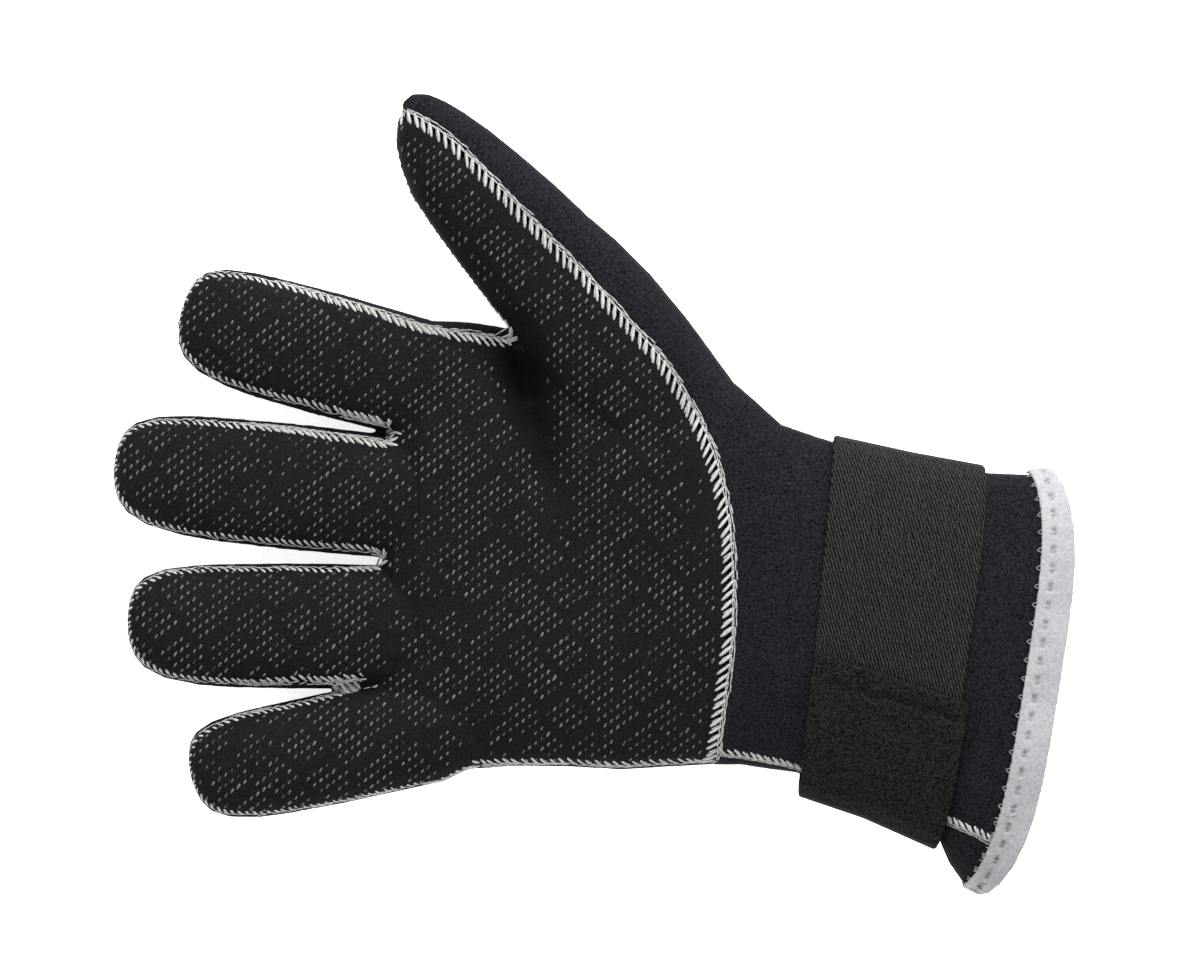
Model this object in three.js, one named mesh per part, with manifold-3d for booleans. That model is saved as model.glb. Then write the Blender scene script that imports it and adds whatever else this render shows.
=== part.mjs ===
// A right-hand diving glove in sheet neoprene, lying on its back with the palm up.
// Millimetres, +Z up. The fingers point to -X, the thumb to +Y and the cuff to +X.
// Two neoprene panels are cut from one hollow hand form along their real seam. A folded
// tape binds the cuff, and an elastic band with a hook-and-loop tab goes round the wrist.
import * as THREE from 'three';
import { mergeVertices } from 'three/addons/utils/BufferGeometryUtils.js';
import Module from 'manifold-3d';

// Neoprene sheet and the clearances between the pieces
const WALL = 3;
const SEAM_GAP = 0.3;
const TAPE_GAP = 0.35;
const STRAP_GAP = 0.35;

// The hand: from the finger crotches to the wrist seam, and from there to the cuff's edge
const PALM_LENGTH = 90;
const WRIST_LENGTH = 77.5;
const PALM_BREADTH = 115;
const WRIST_BREADTH = 90;
const CUFF_BREADTH = 114;
const PALM_THICKNESS = 25;
const WRIST_THICKNESS = 36;
const CUFF_BULGE = 11;
const CUFF_FLARE = 1.5;

// Each finger from the knuckle line to its tip
const INDEX_LENGTH = 81.3;
const INDEX_WIDTH = 33.2;
const MIDDLE_LENGTH = 97;
const MIDDLE_WIDTH = 34;
const RING_LENGTH = 92.8;
const RING_WIDTH = 34;
const LITTLE_LENGTH = 77.1;
const LITTLE_WIDTH = 30.4;
const FINGER_THICKNESS = 20;
const FINGER_CURL = 6;
const THUMB_LENGTH = 130;
const THUMB_WIDTH = 40;
const THUMB_THICKNESS = 26;
const THUMB_RISE = 11;

// The cuff's folded tape, which shows narrower where the edge turns over the two sides
const TAPE_WIDTH = 8.2;
const TAPE_SIDE_WIDTH = 4.5;
const TAPE_THICKNESS = 1;

// The elastic band, the tab that is sewn to its end and the patch that the tab grips
const BAND_WIDTH = 38;
const BAND_THICKNESS = 1.6;
const BAND_FROM_CUFF = 33.2;
const TAB_WIDTH = 39.5;
const TAB_THICKNESS = 1.8;
const TAB_SHIFT = 0.5;
const TAB_FOLD = 2;

// Steps round the hand, of which 0 is the thumb's side, 8 the palm, 16 the little
// finger's side and 24 the back of the hand
const TRUNK_SIDES = 32;
const BAND_START = -9;
const BAND_END = 10;
const TAB_START = 9;
const TAB_END = 22;
const PATCH_START = 18;
const SIDE_SEAM = 14.8;
// Where the side seam starts, as a share of the palm's length
const SIDE_SEAM_START = 0.9;

const FINGER_SIDES = 16;
const THUMB_SIDES = 20;
const HOLLOW_SIDES = 12;
const SEAM_STEPS = 34;
const TOP_ROUNDNESS = 2.3;
const BACK_ROUNDNESS = 2.9;
const GIRTH = 0.45;
// How the palm's dish and the cuff's bulge fade towards the sides
const DISH_SPREAD = 0.42;
const BULGE_FULLNESS = 4;
const BULGE_ROUNDNESS = 0.7;
// How far a cutting form reaches past a digit's side or tip, over the glove and all across it
const REACH = 2.5;
const ABOVE = 70;
const ACROSS = 700;
const SHORT_EDGE = 0.08;

const degrees = THREE.MathUtils.degToRad;
const UP = new THREE.Vector3(0, 0, 1);
const wasm = await Module();
wasm.setup();

// Solids

function volumeOf(geometry) {
  const { position } = geometry.attributes;
  const [a, b, c] = [0, 1, 2].map(() => new THREE.Vector3());
  let sum = 0;
  for (let i = 0; i < geometry.index.count; i += 3) {
    a.fromBufferAttribute(position, geometry.index.getX(i));
    b.fromBufferAttribute(position, geometry.index.getX(i + 1));
    c.fromBufferAttribute(position, geometry.index.getX(i + 2));
    sum += a.dot(b.cross(c)) / 6;
  }
  return sum;
}

// A closed solid from a geometry whose vertices place() moves.
function solidOf(geometry, place = (vertex) => vertex) {
  geometry.deleteAttribute('normal');
  geometry.deleteAttribute('uv');
  const { position } = geometry.attributes;
  const vertex = new THREE.Vector3();
  for (let i = 0; i < position.count; i++) {
    const moved = place(vertex.fromBufferAttribute(position, i));
    position.setXYZ(i, moved.x, moved.y, moved.z);
  }
  const merged = mergeVertices(geometry, 1e-4);
  if (volumeOf(merged) < 0) merged.index.array.reverse();
  const vertProperties = new Float32Array(merged.attributes.position.array);
  const triVerts = new Uint32Array(merged.index.array);
  return new wasm.Manifold(new wasm.Mesh({ numProp: 3, vertProperties, triVerts }));
}

function geometryOf(solid) {
  const { vertProperties, triVerts } = solid.getMesh();
  const geometry = new THREE.BufferGeometry();
  geometry.setAttribute('position', new THREE.BufferAttribute(vertProperties, 3));
  geometry.setIndex(new THREE.BufferAttribute(triVerts, 1));
  geometry.computeVertexNormals();
  return geometry;
}

const joined = (solids) => solids.reduce((whole, next) => whole.add(next));

// The largest body of a solid, without the crumbs and short edges that cuts leave.
const largest = (solid) => solid.simplify(SHORT_EDGE).decompose()
  .reduce((best, next) => (next.volume() > best.volume() ? next : best));

// A closed cylinder bent through rings of points. Every ring has the same count.
function loft(rings) {
  const sides = rings[0].length;
  const centres = rings.map((ring) => {
    const sum = ring.reduce((total, point) => total.add(point), new THREE.Vector3());
    return sum.divideScalar(sides);
  });
  const cylinder = new THREE.CylinderGeometry(1, 1, 1, sides, rings.length - 1);
  return solidOf(cylinder, ({ x, y, z }) => {
    const row = Math.round((0.5 - y) * (rings.length - 1));
    if (Math.hypot(x, z) < 0.5) return centres[row];
    const turn = Math.atan2(x, z) / (2 * Math.PI);
    return rings[row][(Math.round(turn * sides) + sides) % sides];
  });
}

// Stations: a limb is a list of them. Each has its middle, the angle that its own axis
// turns by, its half width, and its heights above and below its widest line.

const towardsThumb = ({ turn }) => new THREE.Vector3(Math.sin(turn), Math.cos(turn), 0);
const towardsCuff = ({ turn }) => new THREE.Vector3(Math.cos(turn), -Math.sin(turn), 0);

const rounded = (value, roundness) => Math.sign(value) * Math.abs(value) ** (2 / roundness);

// The point of a station at an angle, grown outward by a distance or shrunk where it is
// negative. The bulge carries the point towards the cuff, most in mid-breadth.
function surfacePoint(at, angle, grow = 0) {
  const roundness = Math.sin(angle) > 0 ? TOP_ROUNDNESS : BACK_ROUNDNESS;
  const wide = rounded(Math.cos(angle), roundness);
  const high = rounded(Math.sin(angle), roundness);
  const height = Math.sin(angle) > 0 ? at.above : at.below;
  const sink = Math.max(0, high) * at.dish * Math.exp(-((wide / DISH_SPREAD) ** 2));
  const fade = (1 - Math.min(1, wide ** BULGE_FULLNESS)) ** BULGE_ROUNDNESS;
  return at.middle.clone()
    .addScaledVector(towardsThumb(at), wide * (at.halfWidth + grow))
    .addScaledVector(towardsCuff(at), at.bulge * fade)
    .addScaledVector(UP, high * (height + grow) - sink);
}

function limb(stations, sides, grow = 0) {
  const angles = Array.from({ length: sides }, (_, side) => (side / sides) * 2 * Math.PI);
  return loft(stations.map((at) => angles.map((angle) => surfacePoint(at, angle, grow))));
}

const shifted = (at, distance) => ({
  ...at,
  middle: at.middle.clone().addScaledVector(towardsCuff(at), distance),
});

function between(first, second, share) {
  const mix = (key) => THREE.MathUtils.lerp(first[key], second[key], share);
  return {
    middle: first.middle.clone().lerp(second.middle, share),
    turn: mix('turn'),
    halfWidth: mix('halfWidth'),
    above: mix('above'),
    below: mix('below'),
    bulge: mix('bulge'),
    dish: mix('dish'),
    thumbTilt: mix('thumbTilt'),
    littleTilt: mix('littleTilt'),
  };
}

// The space that a limb gives to the palm panel: everything above a floor at its widest
// line, whose two edges tilt up by the seam's angle on either side.
function coverRing(at, grow) {
  const flat = Math.max(0.5, at.halfWidth - Math.min(at.above, at.below));
  const edge = (side, tilt) => {
    const corner = new THREE.Vector2(flat + grow * Math.tan(tilt / 2), -grow);
    const slope = new THREE.Vector2(Math.cos(tilt), Math.sin(tilt));
    const tip = corner.clone().addScaledVector(slope, at.halfWidth - flat + REACH + grow);
    return [corner, tip, new THREE.Vector2(tip.x, ABOVE)].map(({ x, y }) =>
      at.middle.clone().addScaledVector(towardsThumb(at), side * x).addScaledVector(UP, y));
  };
  return [
    ...edge(1, degrees(at.thumbTilt)),
    ...edge(-1, degrees(at.littleTilt)).reverse(),
  ];
}

const cover = (stations, grow) => loft(stations.map((at) => coverRing(at, grow)));

// Palm, wrist and cuff

// along: share of the palm's length. sway: the middle's place towards the thumb, and half:
// the half width, both as shares of the palm's breadth. floor, top and dish: shares of its
// thickness. turn: degrees.
const PALM_ROWS = [
  { along: -0.024, sway: -0.024, half: 0.337, floor: 0.3, top: 0.56, turn: 4 },
  { along: 0.012, sway: -0.014, half: 0.4, floor: 0.14, top: 0.74, turn: 3 },
  { along: 0.095, sway: 0.038, half: 0.517, floor: 0.03, top: 0.87, turn: 2 },
  { along: 0.24, sway: 0.024, half: 0.527, floor: -0.02, top: 0.94, dish: 0.02 },
  { along: 0.36, sway: 0.021, half: 0.515, floor: -0.03, top: 0.98, dish: 0.06 },
  { along: 0.54, sway: 0.003, half: 0.498, floor: -0.03, top: 1.02, dish: 0.09 },
  { along: 0.69, sway: 0, half: 0.501, floor: -0.03, top: 1.1, dish: 0.08 },
  { along: 0.84, sway: -0.003, half: 0.491, floor: -0.02, top: 1.2, dish: 0.04 },
  { along: 0.963, sway: -0.017, half: 0.471, floor: 0, top: 1.28 },
];
// Past the wrist seam: the same, of the wrist's length, breadth and thickness. bulge: share
// of the cuff's bulge.
const WRIST_ROWS = [
  { along: 0.073, sway: -0.068, half: 0.556, floor: 0.04, top: 0.92, turn: 1 },
  { along: 0.182, sway: -0.12, half: 0.516, floor: 0.08, top: 0.96, turn: 2 },
  { along: 0.285, sway: -0.143, half: 0.503, floor: 0.115, top: 1, turn: 4 },
  { along: 0.365, sway: -0.163, half: 0.496, floor: 0.13, top: 1.02, turn: 7 },
  { along: 0.59, sway: -0.221, half: 0.515, floor: 0.13, top: 1.03, turn: 8, bulge: 0.06 },
  { along: 0.823, sway: -0.283, half: 0.54, floor: 0.12, top: 1.04, turn: 8, bulge: 0.2 },
  { along: 0.885, sway: -0.333, half: 0.588, floor: 0.09, top: 1.05, turn: 8.5, bulge: 0.42 },
];
const CUFF_EDGE = {
  along: 1, sway: -0.293, half: 0.5, floor: 0.055, top: 1.06, turn: 9, bulge: 1,
};
// Degrees that the panels' seam tilts up by on the thumb's side and the little finger's
const SEAM_TILT = { thumbTilt: 38, littleTilt: 12 };

function trunkStation(row, start, length, breadth, thickness) {
  const below = (row.top - row.floor) * thickness * GIRTH;
  const girth = row.floor * thickness + below;
  return {
    middle: new THREE.Vector3(start + row.along * length, row.sway * breadth, girth),
    turn: degrees(row.turn ?? 0),
    halfWidth: row.half * breadth,
    above: row.top * thickness - girth,
    below,
    bulge: (row.bulge ?? 0) * CUFF_BULGE,
    dish: (row.dish ?? 0) * thickness,
    ...SEAM_TILT,
  };
}

const wristStation = (row, breadth) =>
  trunkStation(row, PALM_LENGTH, WRIST_LENGTH, breadth, WRIST_THICKNESS);

const cuffEdge = wristStation(CUFF_EDGE, CUFF_BREADTH);
const tapeEdge = {
  ...shifted(cuffEdge, -TAPE_SIDE_WIDTH),
  halfWidth: cuffEdge.halfWidth - CUFF_FLARE,
  bulge: cuffEdge.bulge - (TAPE_WIDTH - TAPE_SIDE_WIDTH),
};
const palmStations = PALM_ROWS.map((row) =>
  trunkStation(row, 0, PALM_LENGTH, PALM_BREADTH, PALM_THICKNESS));
const tableStations = [
  ...palmStations,
  ...WRIST_ROWS.map((row) => wristStation(row, WRIST_BREADTH)),
  tapeEdge,
];

function stationAt(x) {
  const next = tableStations.findIndex(({ middle }) => middle.x > x);
  const [first, second] = [tableStations[next - 1], tableStations[next]];
  const share = (x - first.middle.x) / (second.middle.x - first.middle.x);
  return between(first, second, share);
}

const BAND_MIDDLE = cuffEdge.middle.x - BAND_FROM_CUFF;
const bandStations = [-0.5, 0, 0.5].map((share) =>
  stationAt(BAND_MIDDLE + share * BAND_WIDTH));
const tabStations = [-0.5, 0, 0.5].map((share) =>
  stationAt(BAND_MIDDLE + TAB_SHIFT + share * TAB_WIDTH));

const trunkStations = [...tableStations, ...bandStations, cuffEdge]
  .sort((first, second) => first.middle.x - second.middle.x);

// Fingers and thumb

// along: share of the length from the root to the tip. wide: share of the width. thick:
// share of the thickness. rise: share of the lift at the tip. sway: share of the width.
const FINGER_ROWS = [
  { along: 0, wide: 0.8, thick: 0.8, rise: 0, sway: 0 },
  { along: 0.14, wide: 0.97, thick: 0.98, rise: 0, sway: 0 },
  { along: 0.5, wide: 1, thick: 0.98, rise: 0.12, sway: 0 },
  { along: 0.7, wide: 0.985, thick: 0.96, rise: 0.32, sway: 0 },
  { along: 0.79, wide: 0.96, thick: 0.92, rise: 0.52, sway: 0.005 },
  { along: 0.89, wide: 0.875, thick: 0.815, rise: 0.79, sway: 0.015 },
  { along: 0.95, wide: 0.73, thick: 0.67, rise: 0.94, sway: 0.025 },
  { along: 0.978, wide: 0.56, thick: 0.51, rise: 0.99, sway: 0.03 },
  { along: 0.994, wide: 0.35, thick: 0.32, rise: 1, sway: 0.033 },
  { along: 1, wide: 0.13, thick: 0.13, rise: 1, sway: 0.033 },
];
// aside: the root's place towards the thumb, as a share of the palm's breadth. turn:
// degrees. thumbTilt and littleTilt: degrees of the seam at the root.
const FINGER_ROOT = { along: 0.244, floor: 0.055 };
const FINGERS = [
  { length: INDEX_LENGTH, width: INDEX_WIDTH,
    aside: 0.3835, turn: 15.3, thumbTilt: 50, littleTilt: 45 },
  { length: MIDDLE_LENGTH, width: MIDDLE_WIDTH,
    aside: 0.121, turn: 5.8, thumbTilt: 48, littleTilt: 30 },
  { length: RING_LENGTH, width: RING_WIDTH,
    aside: -0.165, turn: 0.3, thumbTilt: 20, littleTilt: 50 },
  { length: LITTLE_LENGTH, width: LITTLE_WIDTH,
    aside: -0.387, turn: -11.2, thumbTilt: 20, littleTilt: 12 },
];
// The seam's tilt at the tips, reached between two shares of a digit's length
const FINGER_TIP = { tipTilt: 16, tiltFrom: 0, tiltTo: 1 };

// The same columns, where floor is the share of the thumb's thickness under its root.
const THUMB_ROOT = { along: 0.976, aside: 0.199, floor: 0.03, turn: 50.3 };
const THUMB_ROWS = [
  { along: 0, wide: 0.92, thick: 0.92, rise: 0, sway: 0 },
  { along: 0.28, wide: 1.01, thick: 1.03, rise: 0.16, sway: 0.01 },
  { along: 0.4, wide: 1, thick: 1.02, rise: 0.28, sway: 0.015 },
  { along: 0.5, wide: 0.945, thick: 0.98, rise: 0.4, sway: 0.013 },
  { along: 0.58, wide: 0.878, thick: 0.93, rise: 0.52, sway: 0 },
  { along: 0.66, wide: 0.84, thick: 0.9, rise: 0.64, sway: -0.012 },
  { along: 0.76, wide: 0.765, thick: 0.84, rise: 0.8, sway: -0.03 },
  { along: 0.84, wide: 0.685, thick: 0.75, rise: 0.9, sway: -0.043 },
  { along: 0.9, wide: 0.565, thick: 0.62, rise: 0.96, sway: -0.036 },
  { along: 0.945, wide: 0.435, thick: 0.48, rise: 1, sway: -0.022 },
  { along: 0.98, wide: 0.27, thick: 0.31, rise: 1, sway: 0 },
  { along: 1, wide: 0.09, thick: 0.12, rise: 1, sway: 0.015 },
];
// The thumb's seam turns down under its inner side once it is clear of the palm.
const THUMB_TILT = { thumbTilt: 0, littleTilt: 0, tipTilt: -32, tiltFrom: 0.47, tiltTo: 0.64 };

// A digit's stations. The inset moves its whole surface inward.
function digitStations(rows, digit, inset = 0) {
  const { root, turn, length, width, thickness, lift } = digit;
  const origin = new THREE.Vector3(root.along * PALM_LENGTH, root.aside * PALM_BREADTH, 0);
  const bearing = degrees(turn);
  return rows.map((row) => {
    const depth = row.thick * (thickness - 2 * inset);
    const rest = row.rise * lift + (root.floor + (1 - row.thick) / 2) * thickness;
    const tipShare = THREE.MathUtils.smoothstep(row.along, digit.tiltFrom, digit.tiltTo);
    const at = {
      middle: origin,
      turn: bearing,
      halfWidth: (row.wide * (width - 2 * inset)) / 2,
      above: depth * (1 - GIRTH),
      below: depth * GIRTH,
      bulge: 0,
      dish: 0,
      thumbTilt: THREE.MathUtils.lerp(digit.thumbTilt, digit.tipTilt, tipShare),
      littleTilt: THREE.MathUtils.lerp(digit.littleTilt, digit.tipTilt, tipShare),
    };
    const placed = shifted(at, -row.along * (length - inset));
    placed.middle.addScaledVector(towardsThumb(at), row.sway * width);
    placed.middle.z = rest + inset * row.thick + at.below;
    return placed;
  });
}

const fingers = FINGERS.map((finger) => ({
  ...finger,
  ...FINGER_TIP,
  root: { ...FINGER_ROOT, aside: finger.aside },
  thickness: FINGER_THICKNESS,
  lift: FINGER_CURL,
}));
const thumb = {
  ...THUMB_TILT,
  root: THUMB_ROOT,
  turn: THUMB_ROOT.turn,
  length: THUMB_LENGTH,
  width: THUMB_WIDTH,
  thickness: THUMB_THICKNESS,
  lift: THUMB_RISE,
};

// The whole hand as one solid. The inset is how far its surface lies inside the outer one,
// and the hollow's cuff end runs on past the cuff's edge.
function handForm(inset) {
  const hollow = inset > 0;
  const first = shifted(trunkStations[0], inset);
  const last = shifted(cuffEdge, hollow ? 2 * TAPE_WIDTH : 0);
  const trunk = [first, ...trunkStations.slice(1), ...(hollow ? [last] : [])];
  return joined([
    limb(trunk, TRUNK_SIDES, -inset),
    limb(digitStations(THUMB_ROWS, thumb, inset), hollow ? HOLLOW_SIDES : THUMB_SIDES),
    ...fingers.map((finger) => limb(digitStations(FINGER_ROWS, finger, inset),
      hollow ? HOLLOW_SIDES : FINGER_SIDES)),
  ]);
}

// A slab that spans the whole glove above a height
function above(height) {
  const slab = new THREE.BoxGeometry(ACROSS, ACROSS, 4 * ABOVE);
  return solidOf(slab, (vertex) => vertex.add(new THREE.Vector3(0, 0, height + 2 * ABOVE)));
}

const handWall = () =>
  handForm(0).intersect(above(0)).subtract(handForm(WALL).intersect(above(WALL)));

// Panels

// The seam seen from above, from the thumb's tip to the little finger's side of the wrist.
// along: share of the palm's length. aside: share of the palm's breadth.
const SEAM_ROWS = [
  { along: -0.01, aside: 1.047 },
  { along: 0.062, aside: 1.029 },
  { along: 0.19, aside: 0.962 },
  { along: 0.313, aside: 0.866 },
  { along: 0.437, aside: 0.765 },
  { along: 0.553, aside: 0.674 },
  { along: 0.67, aside: 0.577 },
  { along: 0.811, aside: 0.456 },
  { along: 0.874, aside: 0.376 },
  { along: 0.94, aside: 0.279 },
  { along: 0.982, aside: 0.177 },
  { along: 1.004, aside: 0.084 },
  { along: 1.015, aside: -0.021 },
  { along: 1.01, aside: -0.209 },
  { along: 0.98, aside: -0.388 },
  { along: 0.968, aside: -0.49 },
  { along: 0.96, aside: -0.62 },
];

// The part of the plan inside the seam, carried straight up. It grows across the seam.
function palmPlan(grow) {
  const points = SEAM_ROWS.map(({ along, aside }) =>
    new THREE.Vector2(along * PALM_LENGTH, aside * PALM_BREADTH));
  const curve = new THREE.SplineCurve(points);
  const seam = curve.getSpacedPoints(SEAM_STEPS).map((point, i) => {
    const { x, y } = curve.getTangentAt(i / SEAM_STEPS);
    return point.add(new THREE.Vector2(-y, x).multiplyScalar(grow));
  });
  const far = 2 * PALM_LENGTH;
  const corners = [seam.at(-1), seam[0]].map(({ y }) => new THREE.Vector2(-far, y));
  const outline = [...seam, ...corners];
  const prism = new THREE.ExtrudeGeometry(new THREE.Shape(outline), {
    depth: ABOVE,
    bevelEnabled: false,
  });
  return solidOf(prism);
}

// The cover goes on past a digit's tip, where the seam turns round it.
function digitCover(rows, digit, grow) {
  const stations = digitStations(rows, digit);
  const tip = shifted(stations.at(-1), -REACH - grow);
  return cover([...stations, { ...tip, halfWidth: tip.halfWidth + REACH }], grow);
}

function palmSpace(grow) {
  const covers = joined([
    cover(trunkStations.slice(0, palmStations.length + 2), grow),
    digitCover(THUMB_ROWS, thumb, grow),
    ...fingers.map((finger) => digitCover(FINGER_ROWS, finger, grow)),
  ]);
  return covers.intersect(palmPlan(grow));
}

// A slit along the little finger's side, where the back panel's edges meet past the wrist.
function sideSlit() {
  const start = SIDE_SEAM_START * PALM_LENGTH;
  const stations = [
    ...trunkStations.filter(({ middle }) => middle.x > start),
    shifted(cuffEdge, TAPE_WIDTH),
  ];
  const angle = (SIDE_SEAM / TRUNK_SIDES) * 2 * Math.PI;
  return loft(stations.map((at) => {
    const outer = surfacePoint(at, angle, WALL);
    const inner = surfacePoint(at, angle, -2 * WALL);
    const rise = UP.clone().multiplyScalar(SEAM_GAP / 2);
    return [
      outer.clone().add(rise),
      inner.clone().add(rise),
      inner.clone().sub(rise),
      outer.clone().sub(rise),
    ];
  }));
}

// Bands round the wrist

// A strip round the wrist over three stations, from one step to another. grow() gives its
// inner face's distance from the hand at a share of the width and an angle.
function wristStrip(stations, start, end, thickness, grow) {
  const steps = Array.from({ length: end - start + 1 }, (_, step) => start + step);
  return loft(steps.map((step) => {
    const angle = (step / TRUNK_SIDES) * 2 * Math.PI;
    const face = (depth) => stations.map((at, i) =>
      surfacePoint(at, angle, grow(i / 2 - 0.5, angle) + depth));
    return [...face(thickness), ...face(0).reverse()];
  }));
}

const overBand = () => 2 * STRAP_GAP + BAND_THICKNESS;

// The tab's fold stands off the hand on the little finger's side, most at its near edge.
function tabGrow(share, angle) {
  const fold = Math.max(0, -Math.cos(angle)) ** 3;
  return overBand() + TAB_FOLD * fold * (0.5 - share);
}

// The tape's section is a U over the cuff's edge: an outer body less the wall's room.
function bindingSolid() {
  const room = TAPE_GAP + TAPE_THICKNESS;
  const before = shifted(tapeEdge, -room);
  const shell = (start, past, grow) =>
    limb([...start, tapeEdge, cuffEdge, shifted(cuffEdge, past)], TRUNK_SIDES, grow);
  const body = shell([], room, room);
  const wallRoom = shell([before], TAPE_GAP, TAPE_GAP);
  const innerFace = shell([before], 2 * room, -WALL - TAPE_GAP);
  const mouth = shell([before], 2 * room, -WALL - room);
  return body.subtract(mouth).subtract(wallRoom.subtract(innerFace));
}

// Pieces

const NEOPRENE = { color: 0x28262d, roughness: 0.82, metalness: 0 };
const GRIP = { color: 0x2a2a2d, roughness: 0.7, metalness: 0 };
const ELASTIC = { color: 0x323230, roughness: 0.9, metalness: 0 };
const HOOK_TAPE = { color: 0x282526, roughness: 0.95, metalness: 0 };
const LOOP_TAPE = { color: 0x242426, roughness: 0.95, metalness: 0 };
const TAPE = { color: 0xd2d3d8, roughness: 0.8, metalness: 0 };

function piece(name, solid, look) {
  const mesh = new THREE.Mesh(geometryOf(solid), new THREE.MeshStandardMaterial(look));
  mesh.name = name;
  return mesh;
}

const palmPanel = () =>
  piece('palm_panel', largest(handWall().intersect(palmSpace(0))), GRIP);

const backPanel = () => piece('back_panel',
  largest(handWall().subtract(palmSpace(SEAM_GAP)).subtract(sideSlit())), NEOPRENE);

const cuffBinding = () => piece('cuff_binding', bindingSolid(), TAPE);

const strapBand = () =>
  piece('strap_band', wristStrip(bandStations, BAND_START, BAND_END, BAND_THICKNESS,
    () => STRAP_GAP), ELASTIC);

const strapTab = () =>
  piece('strap_tab', wristStrip(tabStations, TAB_START, TAB_END, TAB_THICKNESS, tabGrow),
    HOOK_TAPE);

const loopPatch = () =>
  piece('loop_patch', wristStrip(bandStations, PATCH_START, TAB_END, BAND_THICKNESS,
    () => STRAP_GAP), LOOP_TAPE);

const glove = new THREE.Group();
glove.name = 'diving_glove';
glove.add(palmPanel(), backPanel(), cuffBinding(), strapBand(), strapTab(), loopPatch());

// The origin is at the middle of the glove's plan, on the surface that it lies on.
const box = new THREE.Box3().setFromObject(glove);
const middle = box.getCenter(new THREE.Vector3());
for (const mesh of glove.children) {
  mesh.geometry.translate(-middle.x, -middle.y, -box.min.z);
}

export default glove;
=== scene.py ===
"""A right-hand diving glove in sheet neoprene, lying on its back with the palm up.

Lengths are metres. The fingers point to -X, the thumb to +Y, the cuff to +X and the palm
to +Z, as in the frame that carries every piece.
"""

import math
import random

import bmesh
import bpy
import numpy as np
from bpy.props import FloatProperty, FloatVectorProperty, PointerProperty
from mathutils import Matrix, Vector, noise
from mathutils.bvhtree import BVHTree
from mathutils.kdtree import KDTree


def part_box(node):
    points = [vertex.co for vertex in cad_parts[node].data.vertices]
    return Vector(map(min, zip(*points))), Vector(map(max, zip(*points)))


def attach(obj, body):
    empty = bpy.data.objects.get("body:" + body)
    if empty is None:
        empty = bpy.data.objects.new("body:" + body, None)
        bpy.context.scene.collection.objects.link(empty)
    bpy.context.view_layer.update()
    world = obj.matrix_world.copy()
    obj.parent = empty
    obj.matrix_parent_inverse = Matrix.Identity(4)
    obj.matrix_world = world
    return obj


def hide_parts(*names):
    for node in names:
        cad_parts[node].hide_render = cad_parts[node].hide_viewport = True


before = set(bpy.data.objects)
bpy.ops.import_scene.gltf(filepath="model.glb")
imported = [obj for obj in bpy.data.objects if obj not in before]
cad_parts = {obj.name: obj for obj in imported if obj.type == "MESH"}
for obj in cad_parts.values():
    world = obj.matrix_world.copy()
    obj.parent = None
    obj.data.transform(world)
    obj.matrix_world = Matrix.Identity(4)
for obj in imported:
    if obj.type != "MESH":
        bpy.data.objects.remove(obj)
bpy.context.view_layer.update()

bl_info = {
    "name": "Diving Glove",
    "version": (1, 0, 0),
    "blender": (4, 5, 0),
    "location": "3D View > Sidebar > Glove",
    "description": "Dresses a neoprene diving glove with grip dots, sewn seams, tape and a wrist strap",
    "category": "Object",
}

MM = 0.001

# The photograph: the size of a pixel on the palm, and the pixel over the frame's origin
PHOTO_PIXEL = 0.27 * MM
PHOTO_ORIGIN = (592.5, 495)
PHOTO_SIZE = (1200, 971)

# Corners this near to each other are one, and rays start this high above the glove
SAME_CORNER = 0.002 * MM
RAY_START = 100 * MM

# The clearance between the panels, and how near a face lies to count as part of the seam
SEAM_GAP = 0.3 * MM
SEAM_REACH = 2 * SEAM_GAP
FACING = -0.7

# Smoothing pairs: a relaxing step, and a growing one that gives back the volume
RELAX = 0.5
REGROW = -0.53

# Rounds of smoothing: of a panel's flats beyond the seam's margin, then of the whole panel,
# of the strap's pieces and of the cuff's tape
FLAT_ROUNDS = 30
SEAM_MARGIN = 2.5 * MM
PANEL_ROUNDS = 6
STRAP_ROUNDS = 10
TAPE_ROUNDS = 8

# The tape's faces are this much finer than the strap's
TAPE_FINENESS = 0.8

# How far round a stitch the cloth's slope is taken from, the step of a path, and the steps to
# each side that a path's jitter is evened over
SLOPE_REACH = 2.6 * MM
PATH_STEP = 1 * MM
EVENING = 2

# Photo pixels of the seam on the little finger's side of the wrist, from the cuff's tape to
# the strap and from the strap to the palm's seam, where it lies on the hand's very side
CUFF_SEAM_PIXELS = [(1003, 843), (972, 828), (940, 814), (915, 800)]
SIDE_SEAM_PIXELS = [(812, 764), (795, 762), (755, 761), (712, 758)]
SIDE_SEAM_HEIGHT = 24 * MM

# Photo pixels of the tab's sewn end, of the fold between the thumb and the palm, and of the
# place where the two ends of the cuff's tape overlap
TAB_ROW_PIXELS = [(828, 680), (862, 691), (900, 700), (950, 716)]
FOLD_PIXELS = [(506, 338), (520, 368), (530, 400), (538, 435), (545, 475), (550, 512)]
TAPE_END_PIXEL = (985, 856)
TAPE_END_REACH = 12 * MM

# Photo pixel of the crotch between the thumb and the palm, and how far above it the stitches
# of the fingers' closer pitch begin
CROTCH_PIXEL = (512, 331)
FINGER_BAND = 20 * MM

# Degrees that the wrist's axis turns towards the little finger
WRIST_TURN = 8

# The grip dots' lattice and its hexagonal clusters, in millimetres of the plan, the degrees
# that a dot leans by, its way off the seam, and the steepest rubber that carries dots
DOT_STEPS = (Vector((1.7, 1.2)), Vector((0, 2.8)))
CLUSTER = Vector((13, 17))
CLUSTER_BAND = 1.4
DOT_LEAN = 62
DOT_MARGIN = 3.4 * MM
DOT_LEVEL = 0.55

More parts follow.
